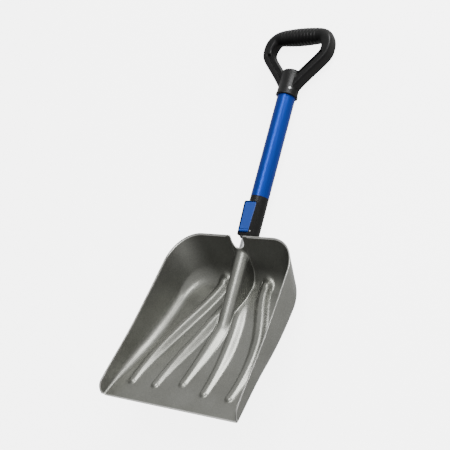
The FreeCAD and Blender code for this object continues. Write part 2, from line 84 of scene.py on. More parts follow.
def fromBlade(x, y, z):
    # blade frame in mm (y from the lip, z above the inner floor) to the row frame in metres
    x, y, z = np.broadcast_arrays(*[np.asarray(v, float) for v in (x, y, z)])
    away = y - lay["socketAt"][0]
    height = z - lay["socketAt"][1]
    place = shaftOrigin + x[..., None] * acrossAxis
    place = place + away[..., None] * alongBlade + height[..., None] * upFromBlade
    return place / 1000


# Materials


def linear(hexColour):
    # sRGB hex to linear light: each channel through the standard transfer curve
    value = [int(hexColour[i:i + 2], 16) / 255 for i in (0, 2, 4)]
    return tuple(c / 12.92 if c <= 0.04045 else ((c + 0.055) / 1.055) ** 2.4 for c in value) + (1.0,)


def addNode(tree, kind, settings=None, links=None):
    node = tree.nodes.new(kind)
    for key, value in (settings or {}).items():
        if isinstance(key, int) or key in node.inputs:
            node.inputs[key].default_value = value
        else:
            setattr(node, key, value)
    for key, socket in (links or {}).items():
        tree.links.new(socket, node.inputs[key])
    return node


def setRamp(node, stops):
    ramp = node.color_ramp
    while len(ramp.elements) < len(stops):
        ramp.elements.new(0.5)
    for element, (place, shade) in zip(ramp.elements, stops):
        element.position = place
        element.color = shade if isinstance(shade, tuple) else (shade, shade, shade, 1.0)


def newMaterial(name):
    material = bpy.data.materials.new(name)
    material.use_nodes = True
    tree = material.node_tree
    tree.nodes.clear()
    return material, tree


def closeMaterial(tree, shader):
    addNode(tree, "ShaderNodeOutputMaterial", {}, {"Surface": shader.outputs[0]})


def grain(tree, sizeMm, detail=3.0, rough=0.6):
    # noise whose blobs are sizeMm across, on the piece's own metres
    place = addNode(tree, "ShaderNodeTexCoord")
    return addNode(tree, "ShaderNodeTexNoise", {"Scale": 1000.0 / sizeMm, "Detail": detail, "Roughness": rough},
                   {"Vector": place.outputs["Object"]})


def blastedAlloy(name, look):
    # aluminium sheet, pressed and bead-blasted: a satin grey with a fine sparkle, with its rim top and lip
    # painted lighter as a painted highlight of the lit sheet edge.
    # real blasting is finer than 0.1 mm, so its grain is drawn coarser to show at all
    material, tree = newMaterial(name)
    fine = grain(tree, look["grainMm"], 2.0, 0.7)
    broad = grain(tree, look["cloudMm"], 3.0, 0.5)
    fineRamp = addNode(tree, "ShaderNodeValToRGB", {}, {"Fac": fine.outputs["Fac"]})
    setRamp(fineRamp, [(0.3, linear(look["dark"])), (0.7, linear(look["light"]))])
    broadRamp = addNode(tree, "ShaderNodeValToRGB", {}, {"Fac": broad.outputs["Fac"]})
    setRamp(broadRamp, [(0.3, linear(look["cloudDark"])), (0.7, linear(look["cloudLight"]))])
    mixed = addNode(tree, "ShaderNodeMix", {"data_type": "RGBA", "blend_type": "MULTIPLY", 0: 1.0},
                    {6: fineRamp.outputs["Color"], 7: broadRamp.outputs["Color"]})
    # painted highlight: the edge colour is mixed in along the rim's top and the lip, where the sheet's edge
    # catches the light
    paintedEdgeHighlight = addNode(tree, "ShaderNodeAttribute", {"attribute_name": "paintedEdgeHighlight"})
    paintedLitEdge = addNode(tree, "ShaderNodeMix", {"data_type": "RGBA", 7: linear(look["edge"])},
                   {0: paintedEdgeHighlight.outputs["Fac"], 6: mixed.outputs[2]})
    smooth, rough = look["roughness"]
    glossRamp = addNode(tree, "ShaderNodeMapRange", {"To Min": smooth, "To Max": rough},
                        {"Value": broad.outputs["Fac"]})
    bump = addNode(tree, "ShaderNodeBump", {"Strength": look["bump"], "Distance": 0.0002},
                   {"Height": fine.outputs["Fac"]})
    shader = addNode(tree, "ShaderNodeBsdfPrincipled", {"Metallic": look["metallic"]},
                     {"Base Color": paintedLitEdge.outputs[2], "Roughness": glossRamp.outputs["Result"],
                      "Normal": bump.outputs["Normal"]})
    closeMaterial(tree, shader)
    return material


def anodised(name, look):
    # drawn metal tube or pin, anodised or plain: a tinted metal with very fine lines along the draw
    material, tree = newMaterial(name)
    place = addNode(tree, "ShaderNodeTexCoord")
    stretch = addNode(tree, "ShaderNodeMapping", {"Scale": (1.0, look["drawStretch"], 1.0)},
                      {"Vector": place.outputs["Object"]})
    lines = addNode(tree, "ShaderNodeTexNoise",
                    {"Scale": 1000.0 / look["lineMm"], "Detail": 3.0, "Roughness": 0.6},
                    {"Vector": stretch.outputs["Vector"]})
    tint = addNode(tree, "ShaderNodeValToRGB", {}, {"Fac": lines.outputs["Fac"]})
    setRamp(tint, [(0.3, linear(look["dark"])), (0.7, linear(look["light"]))])
    smooth, rough = look["roughness"]
    gloss = addNode(tree, "ShaderNodeMapRange", {"To Min": smooth, "To Max": rough},
                    {"Value": lines.outputs["Fac"]})
    bump = addNode(tree, "ShaderNodeBump", {"Strength": look["bump"], "Distance": 0.0001},
                   {"Height": lines.outputs["Fac"]})
    shader = addNode(tree, "ShaderNodeBsdfPrincipled",
                     {"Metallic": look["metallic"], "Specular IOR Level": 0.3},
                     {"Base Color": tint.outputs["Color"], "Roughness": gloss.outputs["Result"],
                      "Normal": bump.outputs["Normal"]})
    closeMaterial(tree, shader)
    return material


def mouldedNylon(name, look):
    # plastic or rubber moulded in a spark-eroded tool: low sheen, pebbled skin, slight mottling
    material, tree = newMaterial(name)
    skin = grain(tree, look["skinMm"], 2.0, 0.5)
    mottle = grain(tree, look["mottleMm"], 3.0, 0.6)
    tint = addNode(tree, "ShaderNodeValToRGB", {}, {"Fac": mottle.outputs["Fac"]})
    setRamp(tint, [(0.3, linear(look["dark"])), (0.7, linear(look["light"]))])
    smooth, rough = look["roughness"]
    gloss = addNode(tree, "ShaderNodeMapRange", {"To Min": smooth, "To Max": rough},
                    {"Value": skin.outputs["Fac"]})
    bump = addNode(tree, "ShaderNodeBump", {"Strength": look["bump"], "Distance": 0.0003},
                   {"Height": skin.outputs["Fac"]})
    shader = addNode(tree, "ShaderNodeBsdfPrincipled",
                     {"IOR": look["ior"], "Specular IOR Level": look["specular"]},
                     {"Base Color": tint.outputs["Color"], "Roughness": gloss.outputs["Result"],
                      "Normal": bump.outputs["Normal"]})
    closeMaterial(tree, shader)
    return material


finishes = {
    # edge: colour of the painted highlight along the rim's top and the lip
    "bladeAlloy": {"grainMm": 0.9, "cloudMm": 60.0, "dark": "5d5d5a", "light": "7a7b75",
        "cloudDark": "e4e4e2", "cloudLight": "ffffff", "edge": "d8d8d4", "roughness": (0.3, 0.37),
        "bump": 0.25, "metallic": 0.85},
    # rim: a lighter copy of the blade's alloy, a painted highlight for the lit turned edge
    "rim": {"grainMm": 0.9, "cloudMm": 40.0, "dark": "8a8a86", "light": "a6a6a2", "cloudDark": "dcdcda",
        "cloudLight": "ffffff", "edge": "d8d8d4", "roughness": (0.26, 0.36), "bump": 0.15,
        "metallic": 0.85},
    "brightTube": {"lineMm": 1.2, "drawStretch": 0.02, "dark": "b4b6b8", "light": "d6d8da",
        "roughness": (0.2, 0.32), "bump": 0.2, "metallic": 1.0},
    "blueTube": {"lineMm": 1.2, "drawStretch": 0.02, "dark": "01226c", "light": "022979",
        "roughness": (0.3, 0.4), "bump": 0.2, "metallic": 0.7},
    "blackNylon": {"skinMm": 0.9, "mottleMm": 12.0, "dark": "070707", "light": "0d0d0d",
        "roughness": (0.28, 0.46), "bump": 0.5, "ior": 1.53, "specular": 0.12},
    "blueNylon": {"skinMm": 0.6, "mottleMm": 10.0, "dark": "01296e", "light": "023079",
        "roughness": (0.34, 0.46), "bump": 0.25, "ior": 1.53, "specular": 0.3},
    "whiteNylon": {"skinMm": 0.8, "mottleMm": 8.0, "dark": "d9d8d2", "light": "e6e5e0",
        "roughness": (0.35, 0.45), "bump": 0.2, "ior": 1.53, "specular": 0.5},
    "blackRubber": {"skinMm": 0.5, "mottleMm": 9.0, "dark": "121212", "light": "1b1b1b",
        "roughness": (0.6, 0.75), "bump": 0.4, "ior": 1.52, "specular": 0.3},
    "plainSteel": {"lineMm": 0.8, "drawStretch": 0.2, "dark": "9a9b9c", "light": "c4c5c6",
        "roughness": (0.25, 0.38), "bump": 0.2, "metallic": 1.0},
}
materials = {
    "blade_alloy": blastedAlloy("beadBlastedAluminium", finishes["bladeAlloy"]),
    "bright_tube": anodised("clearAnodisedTube", finishes["brightTube"]),
    "blue_tube": anodised("blueAnodisedTube", finishes["blueTube"]),
    "black_nylon": mouldedNylon("blackMouldedNylon", finishes["blackNylon"]),
    "blue_nylon": mouldedNylon("blueMouldedNylon", finishes["blueNylon"]),
    "white_nylon": mouldedNylon("whiteTurnedAcetal", finishes["whiteNylon"]),
    "black_rubber": mouldedNylon("blackMouldedRubber", finishes["blackRubber"]),
    "steel": anodised("drawnStainlessSteel", finishes["plainSteel"]),
}
for node in frame["nodes"].values():
    for place in node.material_slots:
        place.material = materials[place.material.name.split(".")[0]]
# the turned rim gets the lighter copy of the alloy: a painted highlight along the walls' top edge
materials["rim"] = blastedAlloy("paintedLighterAluminiumRim", finishes["rim"])
print("materials made")

# Shared mesh helpers


def gridFaces(rows, columns, closeRows=False, closeColumns=False):
    # quads of a rows by columns grid, wrapped round where asked
    index = np.arange(rows * columns).reshape(rows, columns)
    if closeRows:
        index = np.concatenate([index, index[:1]], 0)
    if closeColumns:
        index = np.concatenate([index, index[:, :1]], 1)
    return np.stack([index[:-1, :-1], index[:-1, 1:], index[1:, 1:], index[1:, :-1]], -1).reshape(-1, 4)


def joinPatches(patches):
    # several (points, faces) as one list of points and faces
    points, faces, start = [], [], 0
    for patchPoints, patchFaces in patches:
        flat = patchPoints.reshape(-1, 3)
        points.append(flat)
        faces.append(np.asarray(patchFaces) + start)
        start += len(flat)
    return np.concatenate(points), np.concatenate(faces)


def makePiece(name, points, faces, body, slot, replaced=(), material=None, values=None, weld=0.0):
    mesh = bpy.data.meshes.new(name)
    rows = faces.tolist() if isinstance(faces, np.ndarray) else faces
    mesh.from_pydata(np.asarray(points).reshape(-1, 3).tolist(), [], [tuple(row) for row in rows])
    for key, numbers in (values or {}).items():
        attribute = mesh.attributes.new(key, "FLOAT", "POINT")
        attribute.data.foreach_set("value", np.asarray(numbers, np.float32).ravel())
    if weld:
        work = bmesh.new()
        work.from_mesh(mesh)
        bmesh.ops.remove_doubles(work, verts=work.verts, dist=weld)
        bmesh.ops.dissolve_degenerate(work, edges=work.edges, dist=weld * 0.5)
        work.to_mesh(mesh)
        work.free()
    mesh.polygons.foreach_set("use_smooth", np.ones(len(mesh.polygons), bool))
    mesh.materials.append(material or materials[slot])
    piece = bpy.data.objects.new(name, mesh)
    bpy.context.scene.collection.objects.link(piece)
    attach(piece, body)
    if replaced:
        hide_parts(*replaced)
    print(name, len(mesh.polygons), "faces")
    return piece


def smoothStep(value, low, high):
    t = np.clip((value - low) / (high - low), 0, 1)
    return t * t * (3 - 2 * t)


# The scoop, one pressed sheet

scoop = {
    "halfWidth": 125.0, "taper": -0.08893, "flare": 0.147,     # side walls: at the lip, run along, run up
    "backFoot": 239.76, "lean": 0.28,                          # back wall: foot, run up
    "corner": 50.0, "foldLip": 3.0, "foldSide": 16.0, "foldBack": 27.0,
    "rimLip": 15.0, "rimSlope": 0.21134, "frontRound": 13.0,
    "sheet": 1.7, "floorRing": 24.0, "middleHalf": 30.0,
    "notchHalf": 12.5, "notchFloor": 49.3,
    "socketRadius": 13.0, "skirtSlope": 24.0, "skirtBlend": 2.0,
    "dishLength": 260.0, "dishDepth": 8.5, "dishTop": 45.0, "dishLoss": 0.6,     # walls: height and share lost
    "eye": (125.0, 115.0), "halvings": 44,                     # middle part: rays start here (y, z), in mm
    "rayReach": (2.0, 420.0), "levelShare": 0.6,               # how far rays look; rays that follow the seam
    "straight": 190.0,                                         # lip to the start of the corner
    "foldGrowth": 90.0, "foldBackFrom": 0.85,                  # mm from the lip; place along the outline
    "foldMost": 0.75,                                          # share of the wall's height
    "wallRows": 26, "foldRows": 13, "step": 1.75, "cornerSteps": 48, "backSteps": 21,
    "fineFrom": 11.0, "notchEdge": (12.47, 12.53), "fineTo": 19.0,     # columns across the middle, in mm
    "highlightBelowRim": (0.9, 0.2), "highlightClear": 20.0, "highlightLip": (0.2, 1.6),     # mm of edge painted lighter, a painted highlight
    "weld": 2e-5,                                              # metres
}
ribGrowth, ribBlur = 95.0, 0.3   # mm over which a rib grows from its tip; roundness of its edges
# centre line (x, y) and the order of its curve; half widths at foot and top, and height, each at the
# tip and grown; and how long the far end fades out
ribs = [
    {"line": ((90, 26), (90, 64), (85.5, 99), (75, 134), (64, 161), (54, 184), (44.5, 203), (41.5, 218),
              (42.5, 240)),
     "order": 5, "foot": (7.6, 11.6), "top": (3.3, 3.8), "high": (3.7, 7.4), "fade": 0.1},
    {"line": ((45.6, 26), (43.7, 59), (39.6, 89), (32.3, 117), (26, 145), (19, 172), (11, 196), (3, 220)),
     "order": 3, "foot": (7.6, 11.6), "top": (3.3, 3.6), "high": (3.7, 7.4), "fade": 60},
    {"line": ((0, 36), (0, 80), (0, 120), (0, 170)),
     "order": 1, "foot": (7.6, 13.5), "top": (3.3, 4.0), "high": (3.7, 7.4), "fade": 0.1},
]


def roundedRamp(value, blur):
    # 0 to 1 in a straight slope whose two corners are rounded: averaged over a width of twice the blur
    def area(t):
        inside = np.clip(t, 0, 1)
        return inside ** 2 / 2 + np.maximum(t - 1, 0)
    return (area(value + blur) - area(value - blur)) / (2 * blur)


def ribHeight(x, y):
    # the ribs at a place: each is its height times a rounded ramp from its foot to its top's edge,
    # measured square to a smooth centre line, with round ends; where two meet they run into each other
    total = np.zeros(np.broadcast(x, y).shape)
    for rib in ribs:
        line = np.array(rib["line"], float)
        fit = np.polyfit(line[:, 1], line[:, 0], rib["order"])
        start, end = line[0, 1], line[-1, 1]
        grow = smoothStep(y, start, start + ribGrowth)
        foot, top, tall = [rib[k][0] + (rib[k][1] - rib[k][0]) * grow for k in ("foot", "top", "high")]
        tall = tall * (1 - smoothStep(y, end - rib["fade"], end))
        along = np.clip(y, start + rib["foot"][0], end - rib["foot"][1])
        centre = np.polyval(fit, along)
        slope = np.polyval(np.polyder(fit), along)
        for side in ((1, -1) if line[0, 0] else (1,)):
            away = np.hypot((x * side - centre) / np.sqrt(1 + slope ** 2), y - along)
            high = tall * roundedRamp((foot - away) / (foot - top), ribBlur)
            total = (total ** 4 + high ** 4) ** 0.25
    return total


def dish(y, z):
    # the floor sags along its length as a squared sine, and the walls take less of it the higher they are
    wave = np.sin(np.pi * np.clip(y / scoop["dishLength"], 0, 1)) ** 2
    return -scoop["dishDepth"] * wave * (1 - scoop["dishLoss"] * np.clip(z / scoop["dishTop"], 0, 1))


def socketHeight(x, y):
    # top of the pressed socket: an arch over the slanted shaft axis, then straight flared sides.
    # also gives how steep it is there, to turn a height into a distance
    axis = scoopSocketAxis(y)
    radius = scoop["socketRadius"]
    rise = radius / math.cos(lift)
    edge = radius * scoop["skirtSlope"] / math.hypot(scoop["skirtSlope"], rise / radius)
    reach = np.abs(x)
    inner = np.sqrt(1 - (np.minimum(reach, edge) / radius) ** 2)
    height = axis + rise * inner - scoop["skirtSlope"] * np.maximum(reach - edge, 0)
    arch = rise / radius * np.minimum(reach, edge) / radius / inner
    steep = np.where(reach < edge, arch, scoop["skirtSlope"])
    return height, np.sqrt(1 + steep ** 2 + math.tan(lift) ** 2)


def scoopSocketAxis(y):
    # height of the shaft axis above the floor: a straight line through its place at the back rim
    return lay["socketAt"][1] - (lay["socketAt"][0] - y) * math.tan(lift)


def rimHeight(y):
    # a straight slope that comes down a quarter circle at the lip
    near = np.clip(scoop["frontRound"] - y, 0, scoop["frontRound"])
    drop = scoop["frontRound"] - np.sqrt(scoop["frontRound"] ** 2 - near ** 2)
    return scoop["rimLip"] + scoop["rimSlope"] * y - drop


def outline(share, sideShift, backShift, radius):
    # plan of the right wall moved outwards by the shifts. share runs 0 to 1 along the side, 1 to 2 round the
    # corner and 2 to 3 along the back to the middle part
    run = scoop["taper"]
    sideStart = scoop["halfWidth"] + sideShift
    back = scoop["backFoot"] + backShift
    centreY = back - radius
    centreX = sideStart + run * centreY - radius * math.hypot(1, run)
    first = math.atan2(-run, 1)
    angle = first + (math.pi / 2 - first) * np.clip(share - 1, 0, 1)
    cornerX, cornerY = centreX + radius * np.cos(angle), centreY + radius * np.sin(angle)
    sideY = (centreY + radius * math.sin(first)) * share
    backShare = np.clip(share - 2, 0, 1)
    x = np.where(share < 1, sideStart + run * sideY, cornerX + (scoop["middleHalf"] - centreX) * backShare)
    y = np.where(share < 1, sideY, cornerY)
    return x, y, angle


def wallProfile(slope, fold, top, steps):
    # floor run, fold arc and straight wall as (outward run, height), in equal shares of each part
    turn = math.pi / 2 - math.atan(slope)
    tangent = fold * math.tan(turn / 2)
    ring, arc, wall = steps
    arcAngle = turn * arc
    endRun, endHigh = -tangent + fold * math.sin(turn), fold * (1 - math.cos(turn))
    run = np.concatenate([-scoop["floorRing"] + (scoop["floorRing"] - tangent) * ring,
                          -tangent + fold * np.sin(arcAngle), endRun + slope * (top - endHigh) * wall], 1)
    high = np.concatenate([0 * ring * top, fold * (1 - np.cos(arcAngle)), endHigh + (top - endHigh) * wall], 1)
    lean = np.concatenate([0 * ring * top, arcAngle + 0 * fold, turn + 0 * wall * top], 1)
    return run, high, lean


def wallPatch(share, steps):
    # right side wall, corner and half the back wall: the plan carried up the wall profile, with the
    # ribs raised along the normal. the fold's radius grows from the lip to the back
    share = share[:, None]
    corner = smoothStep(share, 1.0, 2.0)
    along = np.minimum(share, 1.0) * scoop["straight"]
    fold = scoop["foldLip"] + (scoop["foldSide"] - scoop["foldLip"]) * smoothStep(along, 0, scoop["foldGrowth"])
    fold = fold + (scoop["foldBack"] - fold) * smoothStep(share, scoop["foldBackFrom"], 2.0)
    top = np.full(share.shape, 40.0)
    for _ in range(6):
        x, y, angle = outline(share, scoop["flare"] * top, scoop["lean"] * top, scoop["corner"])
        top = rimHeight(y)
    fold = np.minimum(fold, scoop["foldMost"] * top)
    sideRun, sideHigh, sideLean = wallProfile(scoop["flare"], fold, top, steps)
    backRun, backHigh, backLean = wallProfile(scoop["lean"], fold, top, steps)
    middle = np.minimum((sideRun + backRun) / 2, 0)
    x, y, angle = outline(share, sideRun, backRun, scoop["corner"] + middle)
    z = sideHigh + (backHigh - sideHigh) * corner
    tilt = sideLean + (backLean - sideLean) * corner
    raised = ribHeight(x, y)
    normal = np.stack([-np.sin(tilt) * np.cos(angle), -np.sin(tilt) * np.sin(angle), np.cos(tilt)], -1)
    points = np.stack([x, y, z], -1) + normal * raised[..., None]
    points[..., 2] += dish(points[..., 1], points[..., 2])
    outward = np.stack([np.cos(angle) + 0 * x, np.sin(angle) + 0 * x, 0 * x], -1)
    return points, outward


def floorPatch(inner, side, back):
    # right part of the floor between its four edges: a Coons patch, raised by the ribs.
    # inner and side run from the lip backwards, back runs from the corner to the middle part
    rows, columns = len(side), len(back)
    v = np.linspace(0, 1, rows)[:, None, None]
    lipEdge = np.stack([np.linspace(side[0, 0], inner[0, 0], columns), np.zeros(columns)], -1)[None]
    u = np.linspace(0, 1, columns)[None, :, None]
    backEdge = back[None]
    ruled = side[:, None] * (1 - u) + inner[:, None] * u + lipEdge * (1 - v) + backEdge * v
    corners = ((side[0] * (1 - u) + inner[0] * u) * (1 - v) + (side[-1] * (1 - u) + inner[-1] * u) * v)
    plan = ruled - corners
    high = ribHeight(plan[..., 0], plan[..., 1])
    return np.concatenate([plan, (high + dish(plan[..., 1], high))[..., None]], -1)


def middleClear(x, y, z):
    # distance into free space over the middle of the scoop: floor with ribs and back wall joined by a
    # round fold, then the socket joined to both by a smaller one
    turn = math.pi / 2 - math.atan(scoop["lean"])
    fold = scoop["foldBack"]
    centreY = scoop["backFoot"] - fold * math.tan(turn / 2)
    height, steep = socketHeight(x, y)
    socket = (z - height) / steep
    flat = z
    for _ in range(3):
        flat = z - dish(y, flat)
    z = flat
    raised = ribHeight(x, y)
    angle = np.arctan2(y - centreY, fold - z)
    wall = (scoop["backFoot"] + scoop["lean"] * z - y) / math.hypot(1, scoop["lean"])
    inFold = (angle > 0) & (angle < turn) & (y > centreY)
    tub = np.where(inFold, fold - np.hypot(y - centreY, z - fold), np.minimum(z, wall)) - raised
    tub = np.where((wall < z) & ~inFold, wall, tub)
    blend = scoop["skirtBlend"]
    joined = blend - np.hypot(np.maximum(blend - tub, 0), np.maximum(blend - socket, 0))
    return np.where(np.maximum(tub, socket) < blend, joined, np.minimum(tub, socket))


def middlePatch(columns, seam):
    # the middle of the scoop: in each plane across x, rays from a point above the floor stop at the sheet,
    # found by halving. seam holds the last column's (y, z), which sets the rays
    eye = np.array(scoop["eye"])
    angles = np.unwrap(np.arctan2(seam[:, 1] - eye[1], seam[:, 0] - eye[0]))
    edge = np.abs(columns)
    half = scoop["notchHalf"]
    notch = scoop["notchFloor"] + half - np.sqrt(np.maximum(half ** 2 - np.minimum(edge, half) ** 2, 0))
    rim = np.where(edge < half, notch, seam[-1, 1])
    rimY = scoop["backFoot"] + scoop["lean"] * rim
    rimAngle = np.arctan2(rim - eye[1], rimY - eye[0])
    start = angles[int(len(angles) * scoop["levelShare"])]
    top = angles[-1]
    rimAngle = top + (rimAngle - rimAngle[0])
    lowPart = np.minimum(angles, start)[None, :]
    share = (np.maximum(angles - start, 0) / (top - start))[None, :]
    rays = lowPart + share * (rimAngle[:, None] - start)
    x = columns[:, None] + 0 * rays
    near, far = [np.full(x.shape, reach) for reach in scoop["rayReach"]]
    for _ in range(scoop["halvings"]):
        reach = (near + far) / 2
        free = middleClear(x, eye[0] + reach * np.cos(rays), eye[1] + reach * np.sin(rays)) > 0
        near, far = np.where(free, reach, near), np.where(free, far, reach)
    return np.stack([x, eye[0] + near * np.cos(rays), eye[1] + near * np.sin(rays)], -1)


def makeScoop():
    # right wall with corner, right floor and middle, then the first two mirrored, welded and thickened outwards
    front = scoop["frontRound"] * (1 - np.cos(np.linspace(0, math.pi / 2, 9)))
    straight = scoop["straight"]
    sideShare = np.concatenate([front[:-1], np.arange(front[-1], straight - 1, scoop["step"])]) / straight
    cornerShare = 1 + np.linspace(0, 1, scoop["cornerSteps"] + 1)
    backShare = 2 + np.linspace(0, 1, scoop["backSteps"] + 1)[1:]
    share = np.concatenate([sideShare, cornerShare, backShare])
    steps = [np.linspace(0, 1, 5)[None, :-1], np.linspace(0, 1, scoop["foldRows"])[None, :-1],
             np.linspace(0, 1, scoop["wallRows"])[None, :]]
    wall, outward = wallPatch(share, steps)
    split = len(sideShare) + scoop["cornerSteps"] // 2
    ring = wall[:, 0, :2]
    side, back = ring[:split + 1], ring[split:]
    innerY = side[:, 1] / side[-1, 1] * back[-1, 1]
    inner = np.stack([np.full(len(side), scoop["middleHalf"]), innerY], -1)
    plan = floorPatch(inner, side, back)
    seam = np.concatenate([plan[:-1, -1, 1:], wall[-1, :, 1:]])
    # columns are close together where the notch's sides and the socket's flanks are steep
    fineFrom, fineTo = scoop["fineFrom"], scoop["fineTo"]
    edgeIn, edgeOut = scoop["notchEdge"]
    fine = np.concatenate([np.linspace(0, fineFrom, 9)[:-1], np.linspace(fineFrom, edgeIn, 4),
                           np.linspace(edgeOut, fineTo, 14),
                           np.linspace(fineTo, scoop["middleHalf"], 9)[1:]])
    columns = np.concatenate([-fine[:0:-1], fine])[::-1]
    middle = middlePatch(columns, seam)
    flip = np.array([-1.0, 1.0, 1.0])
    patches = []
    for points, outside in ((wall, False), (plan, True), (middle, False)):
        faces = gridFaces(*points.shape[:2])
        patches.append((points, faces[:, ::-1] if outside else faces))
        if points is not middle:
            patches.append((points * flip, faces if outside else faces[:, ::-1]))
    points, faces = joinPatches(patches)
    # painted highlight: a lighter band just under the rim, clear of the notch, and along the lip
    rimTop = rimHeight(points[:, 1])
    below, above = scoop["highlightBelowRim"]
    nearRim = smoothStep(points[:, 2], rimTop - below, rimTop - above)
    nearRim = nearRim * (np.abs(points[:, 0]) > scoop["highlightClear"])
    nearLip = 1 - smoothStep(points[:, 1], *scoop["highlightLip"])
    paintedEdgeHighlight = np.clip(nearRim + nearLip, 0, 1)
    piece = makePiece("scoopSheet", fromBlade(*points.T), faces, "blade_side", "blade_alloy", ["blade"],
                      values={"paintedEdgeHighlight": paintedEdgeHighlight}, weld=scoop["weld"])
    thick = piece.modifiers.new("sheetThickness", "SOLIDIFY")
    thick.thickness = scoop["sheet"] / 1000
    thick.offset = -1
    thick.use_quality_normals = True
    right = wall[:, -1]
    rimLine = np.concatenate([right, middle[1:, -1], (wall[::-1, -1] * flip)[1:]])
    backOut = np.tile([0.0, 1.0, 0.0], (len(middle) - 1, 1))
    rimOut = np.concatenate([outward[:, -1], backOut, (outward[::-1, -1] * flip)[1:]])
    return rimLine, rimOut


rimRoll = {"out": 1.95, "inside": 0.1, "deep": 1.0, "over": 0.12, "edgeTurn": 3, "round": 0.4}


def roundedSection(low, high, radius, turnSteps):
    # a rectangle with round corners as a closed ring of points, going round once
    corners = [(high[0], high[1], 0), (low[0], high[1], 90), (low[0], low[1], 180), (high[0], low[1], 270)]
    ring = []
    for x, y, start in corners:
        angle = np.radians(start + np.linspace(0, 90, turnSteps))
        insideX = x - radius if x == high[0] else x + radius
        insideY = y - radius if y == high[1] else y + radius
        ring.append(np.stack([insideX + radius * np.cos(angle), insideY + radius * np.sin(angle)], -1))
    return np.concatenate(ring)


def makeRim(line, outward):
    # the turned edge: a rounded bar carried along the top of the walls, square to them, with closed ends
    keep = np.concatenate([[True], np.linalg.norm(np.diff(line, axis=0), axis=1) > 0.25])
    line, outward = line[keep], outward[keep]
    run = np.gradient(line, axis=0)
    run /= np.linalg.norm(run, axis=1)[:, None]
    rise = np.cross(run, outward)
    rise /= np.linalg.norm(rise, axis=1)[:, None]
    side = np.cross(rise, run)
    section = roundedSection((-rimRoll["inside"], -rimRoll["deep"]), (rimRoll["out"], rimRoll["over"]),
                             rimRoll["round"], rimRoll["edgeTurn"])
    points = line[:, None] + side[:, None] * section[None, :, :1] + rise[:, None] * section[None, :, 1:]
    faces = gridFaces(*points.shape[:2], closeColumns=True)
    ends = points[[0, -1]].mean(1)
    count, width = points.shape[:2]
    first = np.arange(width)
    total = count * width
    second = np.roll(first, -1)
    last = total - width
    caps = [np.stack([first, second, np.full(width, total)], -1),
            np.stack([second + last, first + last, np.full(width, total + 1)], -1)]
    mesh = faces.tolist() + [row for cap in caps for row in cap.tolist()]
    flat = np.concatenate([points.reshape(-1, 3), ends])
    makePiece("scoopRim", fromBlade(*flat.T), mesh, "blade_side", "blade_alloy", material=materials["rim"])


rimLine, rimOut = makeScoop()
makeRim(rimLine, rimOut)

# The handle: a moulded loop on a socket

handle = {
    "rise": 250.0, "bore": 14.05, "socket": 16.25, "lip": 17.05, "lipHigh": 3.0,
    "closedAt": 285.0, "domeTop": 294.0, "domeRound": 7.0,
    "path": ((2, 260), (12, 273.5), (23.5, 286.5), (36, 299.5), (48, 312), (54.6, 321), (55, 334), (50, 345),
             (41, 351.5), (20, 351.5), (0, 351.5)),           # half of the loop's centre line: across, rise
    "armHalf": 8.3, "armDeep": 10.0, "endHalf": 11.4, "barHalf": 14.0, "crownReach": 50.0, "crownPower": 1.2,
    "barFrom": (0.55, 0.72), "armPower": 5.0, "barPower": 2.0,   # arm turns into bar, as shares of the path
    "channelDeep": 4.5, "channelFrom": 0.9, "channelWall": 1.5, "channelSlant": 0.3,
    "channelEnds": (0.13, 0.5), "channelFade": (0.03, 0.01),     # shares of the path
    "channelFace": (0.55, 0.75),                                 # shares of the arm's depth
    "ringPitch": 6.0, "ringDeep": 0.32, "ringReach": 36.0, "ringFade": 4.0, "around": 160,
    "edge": 0.4, "lipEdge": 0.5, "socketSteps": 96,
}


def roundedPath(points, passes, count):
    # corners cut at a quarter and three quarters of each run, again and again, then evenly spaced points
    line = np.array(points, float)
    for _ in range(passes):
        near = line[:-1] * 0.75 + line[1:] * 0.25
        far = line[:-1] * 0.25 + line[1:] * 0.75
        cut = np.stack([near, far], 1).reshape(-1, 2)
        line = np.concatenate([line[:1], cut, line[-1:]])
    reach = np.concatenate([[0], np.cumsum(np.linalg.norm(np.diff(line, axis=0), axis=1))])
    at = np.linspace(0, reach[-1], count)
    return np.stack([np.interp(at, reach, line[:, 0]), np.interp(at, reach, line[:, 1])], -1), at / reach[-1]


def turnedForm(profile, steps):
    # a profile of (radius, rise) turned about the shaft axis, closed at its ends on the axis
    profile = np.array(profile, float)
    angle = np.linspace(0, 2 * math.pi, steps, endpoint=False)[None]
    radius, rise = profile[:, :1], profile[:, 1:]
    points = fromShaft(radius * np.sin(angle), radius * np.cos(angle), rise)
    return points, gridFaces(len(profile), steps, closeColumns=True)


